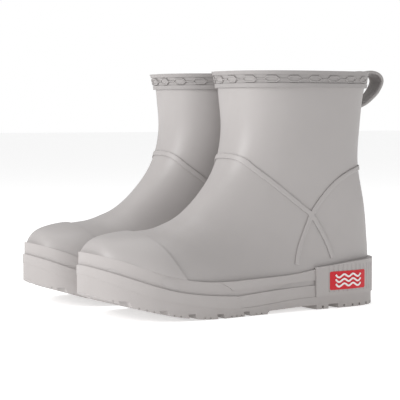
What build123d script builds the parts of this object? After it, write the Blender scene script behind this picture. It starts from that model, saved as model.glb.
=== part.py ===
from build123d import *
import math
import os

os.makedirs("parts", exist_ok=True)

# A pair of short rubber deck boots, standing side by side, toes towards -Y.
# Every piece is drawn once, for the left boot, in that boot's own frame: +X is its
# outer side, the ground is Z = 0 and the middle of its sole is Y = 0. The right boot
# is its mirror image. Side-view points are (distance forward of the heel, height).

# ---- driving dimensions, millimetres and degrees
sole_length = 282
collar_height = 205
stance = 118            # between the centre lines of the two boots
toe_out = 2             # each boot turns outward by this much
wall = 2.6              # rubber upper
lining_wall = 0.85
glue_line = 0.15        # between curved pieces of one boot
play = 0.4              # between the loose footbed and the boot
side_room = 90          # half the width of the blocks that cut side-view shapes

# ---- foot and leg form: (front point), (back point), half width, centre, taper
form_power = 2.5        # superellipse exponent of every section
form_points = 24        # points round a section
form_stations = [
    ((149.5, 215), (10.5, 215), 51.0, 1.0, 0),
    ((147.5, 205), (11.0, 205), 50.5, 1.0, 0),
    ((143.8, 190), (13.0, 190), 49.0, 1.0, 0),
    ((142.0, 168), (16.0, 166), 46.5, 1.0, 0),
    ((143.0, 147), (17.5, 139), 44.0, 1.0, 0),
    ((149.0, 128), (14.5, 112), 41.5, 1.0, 0.02),
    ((159.0, 112), (7.5, 84), 39.0, 1.0, 0.05),
    ((171.0, 98.5), (3.6, 56), 37.5, 1.0, 0.06),
    ((184.5, 86.8), (4.5, 22), 37.0, 1.2, 0.07),
    ((199.5, 78.2), (50, -12), 39.5, 2.0, 0.08),
    ((213.5, 73), (130, -12), 44.5, 2.5, 0.09),
    ((229.5, 70.8), (192, -10), 49.2, 1.0, 0.08),
    ((246, 69.3), (233, -5), 46.0, -1.6, 0.06),
    ((261.5, 66), (256, 2), 36.8, -3.6, 0.05),
    ((271.5, 58), (268, 12), 27.0, -5.0, 0.02),
    ((277, 47), (275.5, 26), 13.0, -6.5, 0),
]
toe_lead_start = 200    # sections further forward also shift forward as the form grows

# ---- sole outline: (distance forward of the heel, outer side, inner side)
outline_rows = [
    (4, 20, -19), (15, 31.5, -30.5), (40, 39.5, -38.5), (80, 41.5, -39.5),
    (120, 45, -41), (160, 50, -45), (195, 53.5, -50.5), (225, 50.5, -51.5),
    (250, 41.8, -47.5), (268, 27, -36.5), (278, 11, -21.5),
]
heel_point = (0, -0.5)
toe_point = (282, -5)
outline_points = 48     # points along the drawn edge of each layer
rim_width = 5           # side wall of the sole round the midsole
tier_step = 1.6         # the bumper's upper tier sits back by this much

# ---- heights along the sole, as side-view points
spring_start = 180
spring_radius = 247
heel_front = 78.5
tread_back = 133
counter_top = [(-8, 41.3), (20, 40.6), (46, 39.2), (64, 37.5), (79.5, 36.6), (90, 36.4)]
lip_top = [(60, 36.3), (80, 34.6), (95, 32.6), (141, 30.5), (182, 30.1), (219, 34.6),
           (245, 42.5), (261, 48.9), (276, 53.9), (290, 58)]
second_line = [(140, 17.4), (165, 17.6), (191, 19.6), (219, 23.5), (245, 30.8), (265, 38.3), (290, 47.5)]
third_line = [(-8, 11.1), (60, 11.1), (110, 9.8), (162, 7.2), (191, 9.9), (219, 14.6),
              (245, 21.1), (265, 29.1), (290, 42)]
groove_top = [(60, 25.8), (80, 25.3), (125, 24), (168, 23.1), (180, 23)]
groove_foot = [(60, 21.6), (80, 21), (125, 19.5), (163, 17.3), (180, 16.6)]
groove_depth = 1.2
foxing_inset = 0.8      # the side strips sit this far inside the outline
outsole_inset = 0.4
bumper_tail = [(186, 34), (182, 30), (174, 25.5), (167.5, 19.5), (162.5, 10), (160, 2)]
heel_flat = 55          # the heel's layers are level this far forward
arch_flat = 118         # and level again from here to the toe spring
deck = (20, 14, 11)     # underside of the upper at the heel, the arch and the ball
bed = (9, 8, 6)         # underside of the midsole at the same places
shell_floor = 3
board_thickness = 2
footbed_thickness = 5
footbed_side_play = 2
footbed_toe = 266

# ---- trim
toe_cap_edge = [(241, 80), (237, 70), (232, 63.5), (227, 55.6), (221, 45), (214, 34), (208, 24)]
toe_cap_thickness = 1.3
rib_width = 4.6
rib_thickness = 1.1
front_rib = [(153, 134.5), (145, 131), (137.8, 123.6), (127.8, 115), (115.5, 105.7), (101.5, 95.2),
             (91.3, 88), (82.9, 81.8), (75.2, 72), (67.2, 59.6), (59.6, 43.5)]
rear_rib = [(6, 121.5), (20, 121.3), (30, 120.4), (40.7, 117.8), (54.2, 112.1), (67.8, 101.2),
            (76, 91.9), (82.9, 81.8), (87.9, 70.8), (93.3, 58.1), (98.4, 39.5)]
collar_depth = 14
collar_cap = 1.5
collar_proud = 2.2
collar_recess = 1.2
strap_width = 19
strap_thickness = 2.6
strap_path = [(14.5, 173.2), (10, 174.6), (2, 178), (-5, 182.8), (-10.8, 188), (-15, 194.3),
              (-16, 199), (-13.8, 202.8), (-9.5, 205.1), (-4, 206), (2, 205.6), (8, 204.2),
              (13.2, 202.8), (16.6, 199.2), (17.6, 194), (18.3, 187)]
notch_floor = 201.4
counter_proud = 0.6
counter_rib_pitch = 5
rib_groove_radius = 0.95
rib_foot = 14.5
rib_reach = 23
badge_pocket_depth = 0.4
badge_back = 24
badge_front = 65
badge_foot = 16
badge_head = 32
badge_thickness = 1.2
mark_thickness = 0.45
shank_length = 92
shank_middle = 108
shank_width = 17
shank_thickness = 1.6
shank_height = 11

# ---- tread: slanted cross grooves with fine sipes between, a raised waist, a notched heel
cross_grooves = [153, 181, 208, 232, 260]
groove_width = 6.5
groove_height = 4
groove_slant = 2.5
sipe_pitch = 5.4
sipe_width = 1.2
sipe_height = 1.6
waist_front_height = 2.6
waist_back_height = 4.1
heel_notches = [(71.6, 1.8, 3), (60.3, 10.8, 4), (48.3, 2, 2.6), (38.5, 2, 2.6), (29.9, 2, 2.6),
                (20, 2, 2.6), (11, 2, 2.6)]    # (middle, width, height)


def side_point(forward, height):
    """Side-view point as (Y, Z) on the boot's middle plane."""
    return (sole_length / 2 - forward, height)


def oval_point(angle):
    """Point of a squared oval of unit size: flatter sides than an ellipse."""
    sine, cosine = round(math.sin(angle), 9), round(math.cos(angle), 9)
    across = math.copysign(abs(sine) ** (2 / form_power), sine)
    along = math.copysign(abs(cosine) ** (2 / form_power), cosine)
    return across, along


def tread_height(forward):
    """Height of the tread line: flat, then an arc that lifts the toe."""
    run = max(0, forward - spring_start)
    return spring_radius - math.sqrt(spring_radius**2 - run**2)


def keep_inside(shape):
    """Keep only what lies inside a shape, with its faces left as they are."""
    add(shape, mode=Mode.INTERSECT, clean=False)


def cut_away(shape):
    """Cut a shape away, with the other faces left as they are."""
    add(shape, mode=Mode.SUBTRACT, clean=False)


def closed_outline(points):
    """Wire of four edges on one smooth closed curve through the points."""
    curve = Edge.make_spline(points, periodic=True)
    return Wire([curve.trim(quarter / 4, (quarter + 1) / 4) for quarter in range(4)])


def boot_form(grow):
    """Solid leg and foot form, its sections made larger by grow on every side."""
    rows = []
    for front, back, half_width, centre, taper in form_stations:
        front_y, front_z = side_point(*front)
        back_y, back_z = side_point(*back)
        length = math.hypot(front_y - back_y, front_z - back_z)
        lead = grow * max(0, front[0] - toe_lead_start) / (toe_point[0] - toe_lead_start)
        middle = Vector(centre, (front_y + back_y) / 2 - lead, (front_z + back_z) / 2)
        long_way = Vector(0, front_y - back_y, front_z - back_z).normalized()
        row = []
        for step in range(form_points + 1):
            across, along = oval_point(math.pi + 2 * math.pi * step / form_points)
            reach = across * (half_width + grow) * (1 - taper * along)
            row.append(middle + Vector(reach, 0, 0) + long_way * along * (length / 2 + grow))
        rows.append(row)
    skin = Face.make_surface_from_array_of_points(rows, tol=0.01)
    ends = [Face(Wire([edge])) for edge in skin.edges() if edge.is_closed]
    halves = Solid(Shell([skin] + ends)).split(Plane.YZ, keep=Keep.BOTH)
    with BuildPart() as form:    # rejoined halves have no face that closes on itself
        for half in halves:
            add(half, clean=False)
    return form.part


def sole_slab(grow, low=-5, high=75):
    """Upright slab with the sole's outline, moved outward by grow."""
    heel = Vector(heel_point[1], side_point(heel_point[0], 0)[0], low)
    toe = Vector(toe_point[1], side_point(toe_point[0], 0)[0], low)
    outer = [Vector(outer_x, side_point(forward, 0)[0], low) for forward, outer_x, _ in outline_rows]
    inner = [Vector(inner_x, side_point(forward, 0)[0], low) for forward, _, inner_x in outline_rows]
    drawn = Edge.make_spline([heel, *outer, toe, *reversed(inner)], periodic=True)
    rim = []
    for index in range(outline_points):
        heading = drawn.tangent_at(index / outline_points)
        rim.append(drawn.position_at(index / outline_points) + Vector(-heading.Y, heading.X, 0) * grow)
    return Solid.extrude(Face(closed_outline(rim)), Vector(0, 0, high - low))


def side_block(top, bottom):
    """Block across the boot between two side-view edges, each a list of points."""
    with BuildPart() as block:
        with BuildSketch(Plane.YZ):
            with BuildLine():
                upper_edge = Spline(*[side_point(*point) for point in top])
                lower_edge = Spline(*[side_point(*point) for point in bottom])
                Line(upper_edge @ 0, lower_edge @ 0)
                Line(upper_edge @ 1, lower_edge @ 1)
            make_face()
        extrude(amount=side_room, both=True)
    return block.part


def side_polygon(corners):
    """Block across the boot whose side view is a polygon."""
    with BuildPart() as block:
        with BuildSketch(Plane.YZ):
            with BuildLine():
                Polyline(*[side_point(*corner) for corner in corners], close=True)
            make_face()
        extrude(amount=side_room, both=True)
    return block.part


def side_band(path, width):
    """Band of constant width that follows a side-view path, across the boot."""
    with BuildPart() as band:
        with BuildSketch(Plane.YZ):
            with BuildLine():
                Spline(*[side_point(*point) for point in path])
            trace(line_width=width)
        extrude(amount=side_room, both=True)
    return band.part


def level_block(low, high):
    """Block as large as the boot between two level planes."""
    return side_polygon([(-40, low), (320, low), (320, high), (-40, high)])


def layer_block(layer, rise=0, reach=260):
    """Block from a layer of the sole, raised by rise, up (or down) to the height reach."""
    heel, arch, ball = [height + rise for height in layer]
    with BuildPart() as block:
        with BuildSketch(Plane.YZ):
            with BuildLine():
                rear = Polyline(side_point(-10, heel), side_point(heel_flat, heel),
                                side_point(arch_flat, arch), side_point(spring_start, ball))
                lift = CenterArc(side_point(spring_start, spring_radius), spring_radius - ball, 270, -30)
                Polyline(lift @ 1, side_point(310, (lift @ 1).Y), side_point(310, reach),
                         side_point(-10, reach), rear @ 0)
            make_face()
        extrude(amount=side_room, both=True)
    return block.part


sky = [(-10, 260), (150, 260), (292, 260)]
cellar = [(-10, -30), (150, -30), (292, -30)]
outer_form = boot_form(0)
bonded_form = boot_form(glue_line)
collar_foot = collar_height - collar_depth
rim_top = collar_height - collar_cap - glue_line
under_collar_cap = level_block(-30, rim_top)
strap_notch = Pos(0, side_point(12, 0)[0], notch_floor + 15) * Box(strap_width + 0.4, 22, 30)
pieces = {}


# ---- rubber upper: one seamless shell with a closed floor, open at the collar
with BuildPart() as cavity:
    add(boot_form(-wall))
    keep_inside(layer_block(deck, shell_floor))
with BuildPart() as upper_shell:
    add(outer_form)
    keep_inside(under_collar_cap)
    keep_inside(layer_block(deck))
    cut_away(cavity.part)
    cut_away(strap_notch)
pieces["upper_shell"] = upper_shell

# ---- knitted lining: a thin sock bonded to the inside of the shell
lining_out = wall + glue_line
lining_in = lining_out + lining_wall
with BuildPart() as lining:
    add(boot_form(-lining_out))
    cut_away(boot_form(-lining_in))
    keep_inside(under_collar_cap)
    keep_inside(layer_block(deck, shell_floor + board_thickness + play))
    cut_away(strap_notch)
pieces["lining"] = lining

# ---- insole board, glued to the floor of the shell under the loose footbed
with BuildPart() as insole_board:
    add(boot_form(-lining_out))
    keep_inside(layer_block(deck, shell_floor))
    cut_away(layer_block(deck, shell_floor + board_thickness))
pieces["insole_board"] = insole_board

# ---- loose footbed, which lifts out heel first
footbed_foot = shell_floor + board_thickness + play
with BuildPart() as footbed:
    add(boot_form(-lining_in - footbed_side_play))
    keep_inside(layer_block(deck, footbed_foot))
    cut_away(layer_block(deck, footbed_foot + footbed_thickness))
    cut_away(side_polygon([(footbed_toe, 0), (300, 0), (300, 90), (footbed_toe, 90)]))
pieces["footbed"] = footbed

# ---- toe cap: a second layer of rubber over the toes, down to the bumper
with BuildPart() as toe_cap:
    add(boot_form(toe_cap_thickness))
    cut_away(bonded_form)
    keep_inside(side_block(toe_cap_edge, [(forward + 60, height) for forward, height in toe_cap_edge]))
    keep_inside(side_block(sky, lip_top))
pieces["toe_cap"] = toe_cap

# ---- ankle ribs: two raised strips that cross over each ankle
with BuildPart() as rib_paths:
    add(side_band(front_rib, rib_width))
    add(side_band(rear_rib, rib_width))
with BuildPart() as ankle_ribs:
    add(boot_form(rib_thickness), clean=False)
    cut_away(bonded_form)
    keep_inside(rib_paths.part)
pieces["ankle_ribs"] = ankle_ribs

# ---- collar band: a folded tape over the top edge, with a recess between two ridges
recess_foot = collar_foot + 3.4
recess_head = collar_height - 3.2
with BuildPart() as under_tape:
    add(bonded_form)
    keep_inside(level_block(-30, collar_height - collar_cap))
with BuildPart() as recess:
    add(boot_form(collar_proud + 3))
    cut_away(boot_form(collar_recess))
    keep_inside(level_block(recess_foot, recess_head))
with BuildPart() as collar_band:
    add(boot_form(collar_proud))
    cut_away(boot_form(-lining_in))
    keep_inside(level_block(collar_foot, collar_height))
    cut_away(under_tape.part)
    cut_away(recess.part)
    cut_away(strap_notch)
pieces["collar_band"] = collar_band

# ---- pull loop: one strap from the back of the leg, up, over the collar and inside
with BuildPart() as leg_below:
    add(bonded_form)
    keep_inside(level_block(100, notch_floor))
    cut_away(boot_form(-lining_in - glue_line))
with BuildPart() as pull_loop:
    with BuildSketch(Plane.YZ):
        with BuildLine():
            Spline(*[side_point(*point) for point in strap_path])
        trace(line_width=strap_thickness)
    extrude(amount=strap_width / 2, both=True)
    cut_away(leg_below.part)
pieces["pull_loop"] = pull_loop

# ---- sole side walls follow one outline; their inner faces meet the upper and the midsole
with BuildPart() as wall_core:
    add(sole_slab(-rim_width))
    keep_inside(layer_block(deck, reach=-30))
    add(bonded_form)

# ---- toe bumper: two tiers round the forefoot, above the outsole's own edge
with BuildPart() as bumper_zone:
    with BuildSketch(Plane.YZ):
        with BuildLine():
            tail = Spline(*[side_point(*point) for point in bumper_tail])
            Polyline(tail @ 0, side_point(186, 80), side_point(300, 80), side_point(300, 2), tail @ 1)
        make_face()
    extrude(amount=side_room, both=True)
with BuildPart() as lower_tier:
    add(sole_slab(0))
    keep_inside(side_block(second_line, third_line))
with BuildPart() as toe_bumper:
    add(sole_slab(-tier_step))
    keep_inside(side_block(lip_top, third_line))
    add(lower_tier.part)
    keep_inside(bumper_zone.part)
    cut_away(wall_core.part)
pieces["toe_bumper"] = toe_bumper

# ---- foxing: the grooved side strips between the bumper and the heel counter
with BuildPart() as groove:
    add(sole_slab(5))
    cut_away(sole_slab(-foxing_inset - groove_depth))
    keep_inside(side_block(groove_top, groove_foot))
with BuildPart() as foxing:
    add(sole_slab(-foxing_inset))
    keep_inside(side_block(lip_top, third_line))
    cut_away(groove.part)
    cut_away(bumper_zone.part)
    cut_away(side_polygon([(-20, -5), (heel_front + 1, -5), (heel_front + 1, 80), (-20, 80)]))
    cut_away(wall_core.part)
pieces["foxing"] = foxing

# ---- heel counter: a ribbed wrap round the heel, with a window for the badge
with BuildPart() as heel_zone:
    add(side_block(counter_top, third_line))
    keep_inside(side_polygon([(-20, -5), (heel_front + 1, -5), (heel_front + 1, 80), (-20, 80)]))
with BuildPart() as badge_window:
    with BuildSketch(Plane.YZ):
        with Locations(side_point((badge_back + badge_front) / 2, (badge_foot + badge_head) / 2)):
            RectangleRounded(badge_front - badge_back, badge_head - badge_foot, 1.5)
    extrude(amount=side_room)
rib_spots = []
for arc in sole_slab(counter_proud + 0.5).edges().group_by(Axis.Z)[0]:
    rib_count = int(arc.length / counter_rib_pitch)
    rib_spots += [arc.position_at(index / rib_count) for index in range(rib_count)]
rib_spots = [spot for spot in rib_spots if spot.Y > side_point(badge_front + 3, 0)[0]]
with BuildPart() as rib_cutters:
    with Locations(*[(spot.X, spot.Y, rib_foot + rib_reach / 2) for spot in rib_spots]):
        Cylinder(rib_groove_radius, rib_reach)
with BuildPart() as badge_pocket:
    add(badge_window.part)
    cut_away(sole_slab(-badge_pocket_depth))
with BuildPart() as heel_counter:
    add(sole_slab(counter_proud))
    keep_inside(heel_zone.part)
    cut_away(wall_core.part)
    cut_away(rib_cutters.part)
    cut_away(badge_pocket.part)
pieces["heel_counter"] = heel_counter

# ---- badge plate on the outer side of the heel, with a plain wave mark raised on it
with BuildPart() as badge:
    add(badge_window.part)
    keep_inside(sole_slab(badge_thickness - badge_pocket_depth))
    cut_away(sole_slab(-badge_pocket_depth))
pieces["badge"] = badge

with BuildPart() as badge_mark:
    for rise in (20, 24, 28):
        wave = [(30 + 4.8 * step, rise + 1.1 * (-1) ** step) for step in range(7)]
        with BuildSketch(Plane.YZ):
            with BuildLine():
                Spline(*[side_point(*point) for point in wave])
            trace(line_width=1.5)
        extrude(amount=side_room)
    keep_inside(sole_slab(badge_thickness - badge_pocket_depth + mark_thickness))
    cut_away(sole_slab(badge_thickness - badge_pocket_depth))
pieces["badge_mark"] = badge_mark

# ---- midsole, with a shank let into its waist
with BuildPart() as shank:
    with Locations((1, side_point(shank_middle, 0)[0], shank_height)):
        Box(shank_width, shank_length, shank_thickness)
    fillet(shank.edges().filter_by(Axis.Z), 5)
pieces["shank"] = shank

with BuildPart() as midsole:
    add(sole_slab(-rim_width))
    keep_inside(layer_block(deck, reach=-30))
    keep_inside(layer_block(bed))
    cut_away(shank.part)
pieces["midsole"] = midsole

# ---- outsole: tread, heel block and the edge that rises to the bumper
with BuildPart() as above_tread:
    with BuildSketch(Plane.YZ):
        with BuildLine():
            flat = Line(side_point(-10, 0), side_point(spring_start, 0))
            lift = CenterArc(side_point(spring_start, spring_radius), spring_radius, 270, -26)
            Polyline(lift @ 1, side_point(300, 90), side_point(-10, 90), flat @ 0)
        make_face()
    extrude(amount=side_room, both=True)

with BuildPart() as tread_cutters:
    add(side_polygon([(heel_front, -1), (heel_front, waist_back_height),
                      (tread_back - waist_front_height, waist_front_height), (tread_back + 1, -1)]))
    for middle, width, height in heel_notches:
        add(side_polygon([(middle - width / 2, -1), (middle + width / 2, -1),
                          (middle + width / 2, height), (middle - width / 2, height)]))
    for middle in cross_grooves:
        foot = tread_height(middle)
        add(side_polygon([(middle - groove_width / 2, foot - 2), (middle + groove_width / 2, foot - 2),
                          (middle + groove_width / 2 + groove_slant, foot + groove_height),
                          (middle - groove_width / 2 + groove_slant, foot + groove_height)]))
    sipe = tread_back + sipe_pitch
    while sipe < toe_point[0] - 12:
        if min(abs(sipe - middle) for middle in cross_grooves) > groove_width:
            foot = tread_height(sipe)
            add(side_polygon([(sipe, foot - 2), (sipe + sipe_width, foot - 2),
                              (sipe + sipe_width, foot + sipe_height), (sipe, foot + sipe_height)]))
        sipe += sipe_pitch

with BuildPart() as midsole_bed:
    add(sole_slab(-rim_width))
    keep_inside(layer_block(bed))
with BuildPart() as upper_room:
    add(bonded_form)
    keep_inside(layer_block(deck))
with BuildPart() as outsole:
    add(sole_slab(-outsole_inset))
    keep_inside(side_block(third_line, cellar))
    keep_inside(above_tread.part)
    cut_away(midsole_bed.part)
    cut_away(upper_room.part)
    cut_away(tread_cutters.part)
pieces["outsole"] = outsole

for name, piece in pieces.items():
    print(name, round(piece.part.volume), [round(solid.volume) for solid in piece.part.solids()])

# ---- stand the pair on the ground, centred on the whole pair's length
turned = Location((stance / 2, 0, 0), (0, 0, toe_out))
reach = Compound([piece.part.moved(turned) for piece in pieces.values()]).bounding_box()
place = Pos(0, -(reach.min.Y + reach.max.Y) / 2, 0) * turned
for name, piece in pieces.items():
    with BuildPart() as left_piece:
        add(piece.part.moved(place))
    left_piece.part.label = f"left_{name}"
    export_step(left_piece.part, f"parts/left_{name}.step")
    with BuildPart() as right_piece:
        mirror(left_piece.part, about=Plane.YZ)
    right_piece.part.label = f"right_{name}"
    export_step(right_piece.part, f"parts/right_{name}.step")
print("length", reach.size.Y, "shift", place.position.Y, "tread low point", reach.min.Z, "top", reach.max.Z)
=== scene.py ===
import math
import bpy
import bmesh
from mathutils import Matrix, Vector


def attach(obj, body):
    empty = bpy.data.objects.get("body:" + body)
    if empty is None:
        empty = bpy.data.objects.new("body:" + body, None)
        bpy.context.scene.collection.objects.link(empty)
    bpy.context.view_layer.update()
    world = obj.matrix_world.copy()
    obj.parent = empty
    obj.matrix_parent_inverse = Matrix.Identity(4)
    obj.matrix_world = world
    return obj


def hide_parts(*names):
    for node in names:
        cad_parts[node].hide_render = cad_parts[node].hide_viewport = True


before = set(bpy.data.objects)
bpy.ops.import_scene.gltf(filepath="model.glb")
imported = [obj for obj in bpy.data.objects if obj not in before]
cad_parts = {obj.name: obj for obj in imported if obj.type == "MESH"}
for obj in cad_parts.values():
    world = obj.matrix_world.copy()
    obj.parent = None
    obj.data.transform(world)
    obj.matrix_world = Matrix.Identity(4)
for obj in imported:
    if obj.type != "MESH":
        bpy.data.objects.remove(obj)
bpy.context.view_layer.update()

print("deck boots: frame loaded")

mm = 0.001
sides = {"left": 1, "right": -1}
soleMiddle = 141      # half the sole's length: a side point is measured forward from the heel

standing = {"halfStance": 59, "toeOut": math.radians(2), "backShift": -8.773}


def place(side, across, forward, height):
    # boot's own point (outward, forward of the heel, up) in mm to the shared frame in metres
    along = soleMiddle - forward
    c, s = math.cos(standing["toeOut"]), math.sin(standing["toeOut"])
    x = c * across - s * along + standing["halfStance"]
    y = s * across + c * along + standing["backShift"]
    return Vector((sides[side] * x, y, height)) * mm


# shader node groups

def newGroup(name, inputs, outputs):
    group = bpy.data.node_groups.new(name, "ShaderNodeTree")
    for label, default in inputs:
        socket = group.interface.new_socket(name=label, in_out="INPUT", socket_type="NodeSocketFloat")
        socket.default_value = default
    for label in outputs:
        group.interface.new_socket(name=label, in_out="OUTPUT", socket_type="NodeSocketFloat")
    return group, group.nodes.new("NodeGroupInput"), group.nodes.new("NodeGroupOutput")


def addMath(tree, operation, first, second):
    node = tree.nodes.new("ShaderNodeMath")
    node.operation = operation
    for socket, value in zip(node.inputs, (first, second)):
        if isinstance(value, (int, float)):
            socket.default_value = value
        else:
            tree.links.new(value, socket)
    return node.outputs[0]


def addNoise(tree, coords, scale, detail):
    node = tree.nodes.new("ShaderNodeTexNoise")
    tree.links.new(coords, node.inputs["Vector"])
    if isinstance(scale, (int, float)):
        node.inputs["Scale"].default_value = scale
    else:
        tree.links.new(scale, node.inputs["Scale"])
    node.inputs["Detail"].default_value = detail
    return node.outputs["Fac"]


def makeGrainGroup():
    # moulded rubber: a fine skin, slow cloudy tone and faint scuffs
    group, into, out = newGroup(
        "mouldedSkin", [("Grain Scale", 900), ("Grain", 0.5), ("Cloud", 0.06)], ["Height", "Tone"])
    coords = group.nodes.new("ShaderNodeTexCoord").outputs["Object"]
    fine = addNoise(group, coords, into.outputs["Grain Scale"], 3)
    cloud = addNoise(group, coords, 14, 3)
    blotch = addNoise(group, coords, 60, 4)
    height = addMath(group, "MULTIPLY", fine, into.outputs["Grain"])
    ripple = addMath(group, "MULTIPLY", blotch, 0.6)
    group.links.new(addMath(group, "ADD", height, ripple), out.inputs["Height"])
    mixed = addMath(group, "SUBTRACT", addMath(group, "ADD", cloud, blotch), 1.0)
    tone = addMath(group, "ADD", addMath(group, "MULTIPLY", mixed, into.outputs["Cloud"]), 1.0)
    group.links.new(tone, out.inputs["Tone"])
    return group


def makeGroundDustGroup():
    # colour darker towards the floor, broken up by noise
    group, into, out = newGroup("groundDust", [("Reach", 0.02), ("Strength", 0.5)], ["Dust"])
    coords = group.nodes.new("ShaderNodeTexCoord").outputs["Object"]
    split = group.nodes.new("ShaderNodeSeparateXYZ")
    group.links.new(coords, split.inputs[0])
    share = addMath(group, "DIVIDE", split.outputs["Z"], into.outputs["Reach"])
    low = addMath(group, "MAXIMUM", addMath(group, "SUBTRACT", 1.0, share), 0.0)
    patch = addNoise(group, coords, 130, 5)
    floorDarkening = addMath(group, "MULTIPLY", addMath(group, "MULTIPLY", low, patch), into.outputs["Strength"])
    group.links.new(floorDarkening, out.inputs["Dust"])
    return group


def makeKnitGroup():
    # rows of stitches: two crossed waves
    group, into, out = newGroup("knitRows", [("Rows", 420), ("Columns", 300)], ["Height"])
    coords = group.nodes.new("ShaderNodeTexCoord").outputs["Object"]
    split = group.nodes.new("ShaderNodeSeparateXYZ")
    group.links.new(coords, split.inputs[0])
    around = addMath(group, "ADD", split.outputs["X"], split.outputs["Y"])
    rowPitch = addMath(group, "MULTIPLY", into.outputs["Rows"], 2 * math.pi)
    columnPitch = addMath(group, "MULTIPLY", into.outputs["Columns"], 2 * math.pi)
    rows = addMath(group, "SINE", addMath(group, "MULTIPLY", split.outputs["Z"], rowPitch), 0)
    columns = addMath(group, "SINE", addMath(group, "MULTIPLY", around, columnPitch), 0)
    group.links.new(addMath(group, "MULTIPLY", rows, columns), out.inputs["Height"])
    return group


skinGroup = makeGrainGroup()
nearFloorGroup = makeGroundDustGroup()
knitGroup = makeKnitGroup()


def startMaterial(name, roughness, specular=0.4):
    material = bpy.data.materials.new(name)
    material.use_nodes = True
    shader = material.node_tree.nodes["Principled BSDF"]
    shader.inputs["Roughness"].default_value = roughness
    shader.inputs["Specular IOR Level"].default_value = specular
    return material, material.node_tree, shader


def addBump(tree, shader, height, strength, distance):
    bump = tree.nodes.new("ShaderNodeBump")
    bump.inputs["Strength"].default_value = strength
    bump.inputs["Distance"].default_value = distance
    tree.links.new(height, bump.inputs["Height"])
    tree.links.new(bump.outputs["Normal"], shader.inputs["Normal"])


def makeRubber(name, look):
    material, tree, shader = startMaterial(name, look["roughness"])
    skin = tree.nodes.new("ShaderNodeGroup")
    skin.node_tree = skinGroup
    skin.inputs["Grain Scale"].default_value = look["grainScale"]
    skin.inputs["Grain"].default_value = look["grain"]
    skin.inputs["Cloud"].default_value = look["cloud"]
    floorDarkening = tree.nodes.new("ShaderNodeGroup")
    floorDarkening.node_tree = nearFloorGroup
    floorDarkening.inputs["Strength"].default_value = look["floorDarkening"]
    floorDarkening.inputs["Reach"].default_value = look.get("nearFloorReach", 0.02)
    toned = tree.nodes.new("ShaderNodeMix")
    toned.data_type = "RGBA"
    toned.blend_type = "MULTIPLY"
    toned.inputs["Factor"].default_value = 1.0
    toned.inputs["A"].default_value = (*look["colour"], 1)
    grey = tree.nodes.new("ShaderNodeCombineColor")
    for channel in grey.inputs:
        tree.links.new(skin.outputs["Tone"], channel)
    tree.links.new(grey.outputs[0], toned.inputs["B"])
    # a darker colour mixed in towards the floor
    floorDarkened = tree.nodes.new("ShaderNodeMix")
    floorDarkened.data_type = "RGBA"
    tree.links.new(floorDarkening.outputs["Dust"], floorDarkened.inputs["Factor"])
    tree.links.new(toned.outputs["Result"], floorDarkened.inputs["A"])
    floorDarkened.inputs["B"].default_value = (*look["nearFloorColour"], 1)
    tree.links.new(floorDarkened.outputs["Result"], shader.inputs["Base Color"])
    rough = addMath(tree, "MULTIPLY", skin.outputs["Tone"], look["roughness"])
    tree.links.new(rough, shader.inputs["Roughness"])
    addBump(tree, shader, skin.outputs["Height"], look["bump"], 0.0002)
    return material


def makeFabric(name, look):
    material, tree, shader = startMaterial(name, look["roughness"], 0.2)
    knit = tree.nodes.new("ShaderNodeGroup")
    knit.node_tree = knitGroup
    knit.inputs["Rows"].default_value = look["rows"]
    knit.inputs["Columns"].default_value = look["columns"]
    ramp = tree.nodes.new("ShaderNodeMix")
    ramp.data_type = "RGBA"
    light = addMath(tree, "ADD", addMath(tree, "MULTIPLY", knit.outputs["Height"], 0.5), 0.5)
    tree.links.new(light, ramp.inputs["Factor"])
    ramp.inputs["A"].default_value = (*look["shade"], 1)
    ramp.inputs["B"].default_value = (*look["colour"], 1)
    tree.links.new(ramp.outputs["Result"], shader.inputs["Base Color"])
    shader.inputs["Sheen Weight"].default_value = 0.25
    shader.inputs["Sheen Roughness"].default_value = 0.5
    addBump(tree, shader, knit.outputs["Height"], look["bump"], 0.0003)
    return material


# near the floor a finish can be mixed towards a darker colour
looks = {
    "upper": {"colour": (0.405, 0.382, 0.375), "roughness": 0.42, "grainScale": 1100, "grain": 0.5,
              "cloud": 0.05, "bump": 0.22, "floorDarkening": 0.0, "nearFloorColour": (0.45, 0.43, 0.40)},
    "trim": {"colour": (0.345, 0.326, 0.320), "roughness": 0.5, "grainScale": 1300, "grain": 0.7,
             "cloud": 0.06, "bump": 0.3, "floorDarkening": 0.0, "nearFloorColour": (0.4, 0.38, 0.36)},
    "sole": {"colour": (0.405, 0.380, 0.372), "roughness": 0.5, "grainScale": 1000, "grain": 0.8,
             "cloud": 0.07, "bump": 0.32, "floorDarkening": 0.35, "nearFloorColour": (0.36, 0.34, 0.31)},
    "tread": {"colour": (0.40, 0.375, 0.367), "roughness": 0.58, "grainScale": 800, "grain": 1.0,
              "cloud": 0.09, "bump": 0.4, "floorDarkening": 0.6, "nearFloorColour": (0.30, 0.28, 0.26),
              "nearFloorReach": 0.012},
    "midsole": {"colour": (0.36, 0.35, 0.335), "roughness": 0.8, "grainScale": 500, "grain": 1.2,
                "cloud": 0.1, "bump": 0.5, "floorDarkening": 0.1, "nearFloorColour": (0.3, 0.28, 0.26)},
    "board": {"colour": (0.30, 0.22, 0.14), "roughness": 0.85, "grainScale": 380, "grain": 1.3,
              "cloud": 0.16, "bump": 0.6, "floorDarkening": 0.0, "nearFloorColour": (0.2, 0.2, 0.2)},
    "badge": {"colour": (0.56, 0.004, 0.014), "roughness": 0.42, "grainScale": 1500, "grain": 0.3,
              "cloud": 0.05, "bump": 0.12, "floorDarkening": 0.0, "nearFloorColour": (0.4, 0.1, 0.1)},
    "mark": {"colour": (0.80, 0.79, 0.78), "roughness": 0.32, "grainScale": 1500, "grain": 0.3,
             "cloud": 0.04, "bump": 0.12, "floorDarkening": 0.1, "nearFloorColour": (0.5, 0.48, 0.46)},
}
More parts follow.
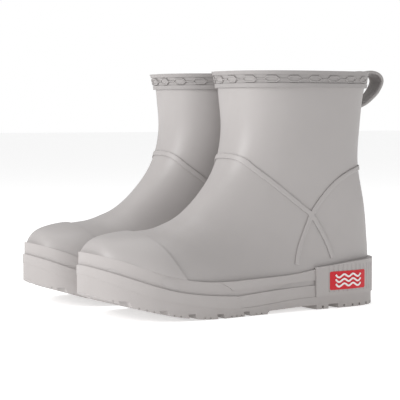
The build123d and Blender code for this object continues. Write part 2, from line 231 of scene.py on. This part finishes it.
materials = {name: makeRubber(f"{name}Rubber", look) for name, look in looks.items()}
materials["lining"] = makeFabric("liningKnit", {
    "colour": (0.16, 0.155, 0.155), "shade": (0.06, 0.06, 0.062), "roughness": 0.85,
    "rows": 520, "columns": 380, "bump": 0.7})
materials["footbed"] = makeFabric("footbedCloth", {
    "colour": (0.10, 0.10, 0.115), "shade": (0.045, 0.045, 0.05), "roughness": 0.9,
    "rows": 460, "columns": 460, "bump": 0.6})

shankMaterial, shankTree, shankShader = startMaterial("shankSteel", 0.35, 0.5)
shankShader.inputs["Base Color"].default_value = (0.55, 0.55, 0.57, 1)
shankShader.inputs["Metallic"].default_value = 1
brushed = addNoise(shankTree, shankTree.nodes.new("ShaderNodeTexCoord").outputs["Object"], 700, 4)
addBump(shankTree, shankShader, brushed, 0.2, 0.0001)
shankTree.links.new(addMath(shankTree, "ADD", addMath(shankTree, "MULTIPLY", brushed, 0.3), 0.2),
                    shankShader.inputs["Roughness"])
materials["shank"] = shankMaterial

nodeFinish = {
    "upper_shell": "upper", "lining": "lining", "insole_board": "board", "footbed": "footbed",
    "toe_cap": "upper", "ankle_ribs": "upper", "collar_band": "trim", "pull_loop": "trim",
    "toe_bumper": "sole", "foxing": "sole", "heel_counter": "sole", "badge": "badge",
    "badge_mark": "mark", "shank": "shank", "midsole": "midsole", "outsole": "tread",
}
for side in sides:
    for part, finish in nodeFinish.items():
        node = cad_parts[f"{side}_{part}"]
        if not node.material_slots:
            node.data.materials.append(materials[finish])
        for materialSlot in node.material_slots:
            materialSlot.material = materials[finish]
print("materials on every carried-over piece")


# mesh helpers

def newPiece(name, points, faces, finish, body, smooth=True):
    mesh = bpy.data.meshes.new(name)
    mesh.from_pydata([tuple(point) for point in points], [], faces)
    tidyMesh = bmesh.new()
    tidyMesh.from_mesh(mesh)
    bmesh.ops.recalc_face_normals(tidyMesh, faces=tidyMesh.faces)
    tidyMesh.to_mesh(mesh)
    tidyMesh.free()
    piece = bpy.data.objects.new(name, mesh)
    bpy.context.scene.collection.objects.link(piece)
    mesh.materials.append(materials[finish])
    for polygon in mesh.polygons:
        polygon.use_smooth = smooth
    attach(piece, body)
    return piece


def applyModifiers(piece):
    solved = piece.evaluated_get(bpy.context.evaluated_depsgraph_get())
    mesh = bpy.data.meshes.new_from_object(solved)
    piece.modifiers.clear()
    piece.data = mesh
    for polygon in mesh.polygons:
        polygon.use_smooth = True


def softened(node, name, look, finish, body):
    # a CAD piece remade with evenly spaced faces and rounded edges
    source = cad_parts[node]
    piece = bpy.data.objects.new(name, source.data.copy())
    piece.data.transform(source.matrix_world)
    bpy.context.scene.collection.objects.link(piece)
    remesh = piece.modifiers.new("even", "REMESH")
    remesh.mode = "VOXEL"
    remesh.voxel_size = look["voxel"]
    rounded = piece.modifiers.new("rounded", "SMOOTH")
    rounded.factor = 0.5
    rounded.iterations = look["rounds"]
    applyModifiers(piece)
    piece.data.materials.clear()
    piece.data.materials.append(materials[finish])
    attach(piece, body)
    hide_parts(node)
    return piece


# collar: a chain of long hexagons in the recess between the two ridges

collarLook = {
    "middle": 197.9, "cells": 20, "cellLength": 15.0, "cellHeight": 6.2, "shoulder": 3.4,
    "rim": 1.25, "base": 0.9, "top": 2.0, "bevel": 0.35, "linkHeight": 1.5, "linkOverlap": 0.5,
    "linkPinch": 0.35, "linkSteps": 4, "linkSink": 0.25, "strapHalf": 10.5, "ringSteps": 720,
}    # millimetres; base and top are how far the relief stands off the leg


def collarPoint(height, angle, grow):
    # the leg's section near the collar, a squared oval
    rise = (height - 190) / 15
    front, back, halfWidth = 143.8 + 3.7 * rise, 13.0 - 2.0 * rise, 49.0 + 1.5 * rise
    cosine, sine = math.cos(angle), math.sin(angle)
    across = math.copysign(abs(sine) ** (2 / 2.5), sine)
    along = math.copysign(abs(cosine) ** (2 / 2.5), cosine)
    return (1 + (halfWidth + grow) * across, (front + back) / 2 + along * ((front - back) / 2 + grow), height)


def collarRuler():
    # angle for each distance round the collar
    steps = collarLook["ringSteps"]
    angles, lengths, total, last = [], [], 0, None
    for step in range(steps + 1):
        angle = math.pi + 2 * math.pi * step / steps
        spot = Vector(collarPoint(collarLook["middle"], angle, collarLook["top"]))
        total += (spot - last).length if last else 0
        last = spot
        angles.append(angle)
        lengths.append(total)
    return angles, lengths


ringAngles, ringLengths = collarRuler()


def angleAt(distance):
    distance %= ringLengths[-1]
    for index in range(1, len(ringLengths)):
        if ringLengths[index] >= distance:
            span = ringLengths[index] - ringLengths[index - 1]
            share = (distance - ringLengths[index - 1]) / span if span else 0
            return ringAngles[index - 1] + share * (ringAngles[index] - ringAngles[index - 1])
    return ringAngles[-1]


def hexOutline(length, height, shoulder):
    # four points on each long side let the hexagon bend with the collar
    half, up = length / 2, height / 2
    flat = half - shoulder
    top = [(-flat + 2 * flat * step / 4, up) for step in range(5)]
    bottom = [(flat - 2 * flat * step / 4, -up) for step in range(5)]
    return [(-half, 0), *top, (half, 0), *bottom]


def collarPattern(side):
    look = collarLook
    points, faces = [], []
    pitch = ringLengths[-1] / look["cells"]
    strapHalf = look["strapHalf"]
    bevel = look["bevel"]
    halfCell = look["cellLength"] / 2
    for cell in range(look["cells"]):
        centre = (cell + 0.5) * pitch
        roomBefore = centre - halfCell
        roomAfter = ringLengths[-1] - centre - halfCell
        if min(roomBefore, roomAfter) < strapHalf:    # the pull strap passes here
            continue
        rings = [(0, look["base"]), (bevel, look["top"] - 0.2), (0.6, look["top"]),
                 (look["rim"], look["top"]), (look["rim"] + bevel, look["base"] + bevel)]
        start = len(points)
        count = 0
        for inset, grow in rings:
            outline = hexOutline(look["cellLength"] - 2.2 * inset, look["cellHeight"] - 2 * inset,
                                 look["shoulder"] - 0.4 * inset)
            count = len(outline)
            for run, up in outline:
                spot = collarPoint(look["middle"] + up, angleAt(centre + run), grow)
                points.append(place(side, *spot))
        for ring in range(len(rings) - 1):
            for index in range(count):
                follow = (index + 1) % count
                a = start + ring * count
                faces.append((a + index, a + follow, a + count + follow, a + count + index))
        last = start + (len(rings) - 1) * count
        faces.append(tuple(last + index for index in range(count)))
        faces.append(tuple(start + index for index in reversed(range(count))))
        # link to the next hexagon
        linkStart = centre + halfCell - look["linkOverlap"]
        linkEnd = centre + pitch - halfCell + look["linkOverlap"]
        if ringLengths[-1] - linkEnd < strapHalf:
            continue
        half = look["linkHeight"] / 2
        base = len(points)
        linkSteps = look["linkSteps"]
        linkTop = look["top"] - look["linkSink"]
        for step in range(linkSteps + 1):
            distance = linkStart + (linkEnd - linkStart) * step / linkSteps
            pinch = 1 - look["linkPinch"] * math.sin(math.pi * step / linkSteps)
            for up, grow in ((-half * pinch, look["base"]), (-half * pinch * 0.7, linkTop),
                             (half * pinch * 0.7, linkTop), (half * pinch, look["base"])):
                spot = collarPoint(look["middle"] + up, angleAt(distance), grow)
                points.append(place(side, *spot))
        for step in range(linkSteps):
            for index in range(4):
                a = base + step * 4
                follow = (index + 1) % 4
                faces.append((a + index, a + follow, a + 4 + follow, a + 4 + index))
        faces.append((base + 3, base + 2, base + 1, base))
        faces.append((base + 16, base + 17, base + 18, base + 19))
    return newPiece(f"{side}_collar_pattern", points, faces, "trim", f"{side}_boot", False)


# pull loop: a flat strap with raised edges

strapLook = {"width": 19, "thickness": 2.6, "edge": 2.2, "dish": 0.35, "samples": 12}
strapPath = [(14.5, 173.2), (10, 174.6), (2, 178), (-5, 182.8), (-10.8, 188), (-15, 194.3),
             (-16, 199), (-13.8, 202.8), (-9.5, 205.1), (-4, 206), (2, 205.6), (8, 204.2),
             (13.2, 202.8), (16.6, 199.2), (17.6, 194), (18.3, 187)]


def smoothPath(points, samples):
    # a soft curve through the points
    padded = [points[0], *points, points[-1]]
    curve = []
    for index in range(1, len(padded) - 2):
        p0, p1, p2, p3 = [Vector(point) for point in padded[index - 1:index + 3]]
        for step in range(samples):
            t = step / samples
            curve.append(0.5 * ((2 * p1) + (p2 - p0) * t + (2 * p0 - 5 * p1 + 4 * p2 - p3) * t * t
                                + (3 * p1 - p0 - 3 * p2 + p3) * t ** 3))
    curve.append(Vector(points[-1]))
    return curve


def strapSection():
    half, thick, edge, dish = (strapLook["width"] / 2, strapLook["thickness"] / 2,
                               strapLook["edge"], strapLook["dish"])
    upper = [(-half, 0.5 * thick), (-half + 0.6, thick), (-half + edge, thick), (-half + edge + 0.7, thick - dish),
             (0, thick - dish), (half - edge - 0.7, thick - dish), (half - edge, thick),
             (half - 0.6, thick), (half, 0.5 * thick)]
    return upper + [(x, -z) for x, z in reversed(upper)]


def makePullLoop(side):
    path = smoothPath(strapPath, strapLook["samples"])
    section = strapSection()
    points, faces = [], []
    for index, spot in enumerate(path):
        heading = path[min(index + 1, len(path) - 1)] - path[max(index - 1, 0)]
        heading.normalize()
        normal = Vector((-heading.y, heading.x))
        for across, rise in section:
            points.append(place(side, across, spot.x + normal.x * rise, spot.y + normal.y * rise))
    count = len(section)
    for ring in range(len(path) - 1):
        for index in range(count):
            follow = (index + 1) % count
            a = ring * count
            faces.append((a + index, a + follow, a + count + follow, a + count + index))
    faces.append(tuple(range(count)))
    faces.append(tuple((len(path) - 1) * count + index for index in range(count)))
    piece = newPiece(f"{side}_pull_strap", points, faces, "trim", f"{side}_boot")
    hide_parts(f"{side}_pull_loop")
    return piece


softLooks = {
    "ankle_ribs": {"voxel": 0.0005, "rounds": 8},
    "footbed": {"voxel": 0.0022, "rounds": 6},
}
for side in sides:
    collarPattern(side)
    makePullLoop(side)
    softened(f"{side}_ankle_ribs", f"{side}_ankle_ridges", softLooks["ankle_ribs"], "upper",
             f"{side}_boot")
    pad = softened(f"{side}_footbed", f"{side}_footbed_pad", softLooks["footbed"], "footbed",
                   f"{side}_footbed_body")
print("collar pattern, pull loops, ankle ridges and footbeds made")


# floor, light and camera

studio = {"sky": 0.5, "floorGlow": 0.46, "keyPower": 18, "keySize": 0.8, "fillPower": 0.6, "topPower": 9}


def makeFloor():
    mesh = bpy.data.meshes.new("studioFloor")
    mesh.from_pydata([(-12, -12, 0), (12, -12, 0), (12, 12, 0), (-12, 12, 0)], [], [(0, 1, 2, 3)])
    floor = bpy.data.objects.new("studioFloor", mesh)
    bpy.context.scene.collection.objects.link(floor)
    material, tree, shader = startMaterial("palePaper", 0.9, 0.1)
    cloud = addNoise(tree, tree.nodes.new("ShaderNodeTexCoord").outputs["Object"], 30, 3)
    tone = addMath(tree, "ADD", addMath(tree, "MULTIPLY", cloud, 0.01), 0.94)
    shade = tree.nodes.new("ShaderNodeCombineColor")
    for channel in shade.inputs:
        tree.links.new(tone, channel)
    tree.links.new(shade.outputs[0], shader.inputs["Base Color"])
    shader.inputs["Emission Color"].default_value = (1, 1, 1, 1)
    shader.inputs["Emission Strength"].default_value = studio["floorGlow"]    # keeps the far floor pale
    mesh.materials.append(material)


def addLamp(name, spot, target, power, size):
    lamp = bpy.data.lights.new(name, "AREA")
    lamp.energy = power
    lamp.size = size
    lampObject = bpy.data.objects.new(name, lamp)
    lampObject.location = spot
    lampObject.rotation_euler = (Vector(target) - Vector(spot)).to_track_quat("-Z", "Y").to_euler()
    bpy.context.scene.collection.objects.link(lampObject)


makeFloor()
world = bpy.data.worlds.new("paleStudio")
world.use_nodes = True
world.node_tree.nodes["Background"].inputs["Color"].default_value = (1, 1, 1, 1)
world.node_tree.nodes["Background"].inputs["Strength"].default_value = studio["sky"]
bpy.context.scene.world = world
bpy.context.scene.view_settings.view_transform = "Standard"
lightPath = world.node_tree.nodes.new("ShaderNodeLightPath")
seen = addMath(world.node_tree, "MULTIPLY", lightPath.outputs["Is Camera Ray"], 1 - studio["sky"])
world.node_tree.links.new(addMath(world.node_tree, "ADD", seen, studio["sky"]),
                          world.node_tree.nodes["Background"].inputs["Strength"])
addLamp("keyLight", (0.0, -1.6, 0.75), (0, 0, 0.08), studio["keyPower"], studio["keySize"])
addLamp("topLight", (0.0, 0.1, 1.7), (0, 0, 0.05), studio["topPower"], 1.4)
addLamp("fillLight", (1.6, -0.2, 0.5), (0, 0, 0.1), studio["fillPower"], 1.2)

view = {"spot": (1.24048, -0.69776, 0.16835), "turn": 60.836, "dip": 3.094, "lens": 143.146}
cameraData = bpy.data.cameras.new("studioCamera")
cameraData.lens = view["lens"]
cameraData.sensor_width = 36
camera = bpy.data.objects.new("studioCamera", cameraData)
camera.location = view["spot"]
camera.rotation_euler = (math.radians(90 - view["dip"]), 0, math.radians(view["turn"]))
bpy.context.scene.collection.objects.link(camera)
bpy.context.scene.camera = camera
print("floor, light and camera ready")
